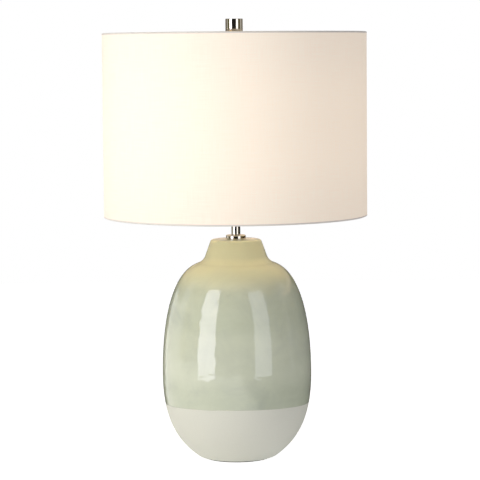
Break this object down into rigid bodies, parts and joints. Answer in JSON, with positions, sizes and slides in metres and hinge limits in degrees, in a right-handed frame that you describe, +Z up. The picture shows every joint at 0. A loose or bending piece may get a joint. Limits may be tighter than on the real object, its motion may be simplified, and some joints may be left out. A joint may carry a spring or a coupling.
{
  "type": "ginger jar table lamp",
  "caption": "Table lamp: glazed ginger-jar base, polished neck and cylinder finial, white linen drum shade on a detachable harp, turn-key lampholder and bulb.",
  "frame": {"origin": "centre of the lamp's footprint on the surface it stands on, on the turning axis of jar and shade", "axes": "+Z up the lamp's axis, -Y the side that the picture faces, +X to the right in it; the harp lies in the XZ plane and the switch and the cord hole face +Y"},
  "size_m": [0.38, 0.3804, 0.6362],
  "materials": {
    "felt": "pressed wool felt, dark grey, matt",
    "stoneware": "glazed stoneware, opaque: celadon glaze above a matt unglazed foot",
    "black_rubber": "moulded rubber, satin",
    "cork": "rubber-bonded cork, matt",
    "zinc_steel": "zinc-plated steel, satin",
    "nickel": "polished nickel plate",
    "clear_gasket": "translucent soft plastic washer",
    "linen": "off-white linen, plain weave, hemmed",
    "liner": "white styrene sheet, matt",
    "white_wire": "steel wire, white enamel",
    "card": "varnished insulating card",
    "black_phenolic": "moulded phenolic, satin gloss",
    "brass": "plain brass, lightly tarnished",
    "bulb_aluminium": "drawn aluminium, satin",
    "black_glass": "black vitrified glass",
    "solder": "tinned contact, dull",
    "opal_glass": "opal glass, satin"
  },
  "bodies": {
    "lamp_base": {"foot_pad": "felt", "jar_body": "stoneware", "cord_bushing": "black_rubber", "base_gasket": "cork", "base_plate": "zinc_steel", "base_washer": "zinc_steel", "base_spring_washer": "zinc_steel", "base_nut": "zinc_steel", "threaded_rod": "zinc_steel", "neck_gasket": "clear_gasket", "neck_cap": "nickel", "neck_tube": "nickel", "harp_saddle": "nickel", "saddle_nut": "nickel", "socket_cap": "nickel", "socket_set_screw": "zinc_steel", "socket_shell": "nickel", "socket_sleeve": "card", "socket_body": "black_phenolic", "terminal_screws": "brass", "screw_shell": "brass", "centre_contact": "brass"},
    "harp": {"harp_bow": "nickel"},
    "sleeve_left": {"harp_sleeve_left": "nickel"},
    "sleeve_right": {"harp_sleeve_right": "nickel"},
    "swivel": {"harp_swivel": "nickel"},
    "shade": {"shade_cover": "linen", "shade_liner": "liner", "shade_top_frame": "white_wire", "shade_bottom_ring": "white_wire"},
    "finial": {"finial": "nickel"},
    "switch": {"switch_spindle": "brass", "switch_knob": "black_phenolic"},
    "bulb": {"bulb_envelope": "opal_glass", "bulb_cap": "bulb_aluminium", "bulb_insulator": "black_glass", "bulb_contact": "solder"}
  },
  "joints": [
    {"name": "harp_lift", "type": "slide", "parent": "lamp_base", "child": "harp", "axis": [0, 0, 1], "range_m": [0, 0.135]},
    {"name": "left_sleeve_slide", "type": "slide", "parent": "harp", "child": "sleeve_left", "axis": [0, 0, 1], "range_m": [0, 0.013]},
    {"name": "right_sleeve_slide", "type": "slide", "parent": "harp", "child": "sleeve_right", "axis": [0, 0, 1], "range_m": [0, 0.013]},
    {"name": "swivel_turn", "type": "hinge", "parent": "harp", "child": "swivel", "pos_m": [0, 0, 0.603], "axis": [0, 0, 1], "continuous": true},
    {"name": "shade_lift", "type": "slide", "parent": "swivel", "child": "shade", "axis": [0, 0, 1], "range_m": [0, 0.27]},
    {"name": "finial_turn", "type": "hinge", "parent": "shade", "child": "finial", "pos_m": [0, 0, 0.6066], "axis": [0, 0, 1], "continuous": true},
    {"name": "switch_turn", "type": "hinge", "parent": "lamp_base", "child": "switch", "pos_m": [0, 0, 0.3827], "axis": [0, 1, 0], "continuous": true},
    {"name": "bulb_turn", "type": "hinge", "parent": "lamp_base", "child": "bulb", "pos_m": [0, 0, 0.3942], "axis": [0, 0, 1], "continuous": true}
  ]
}
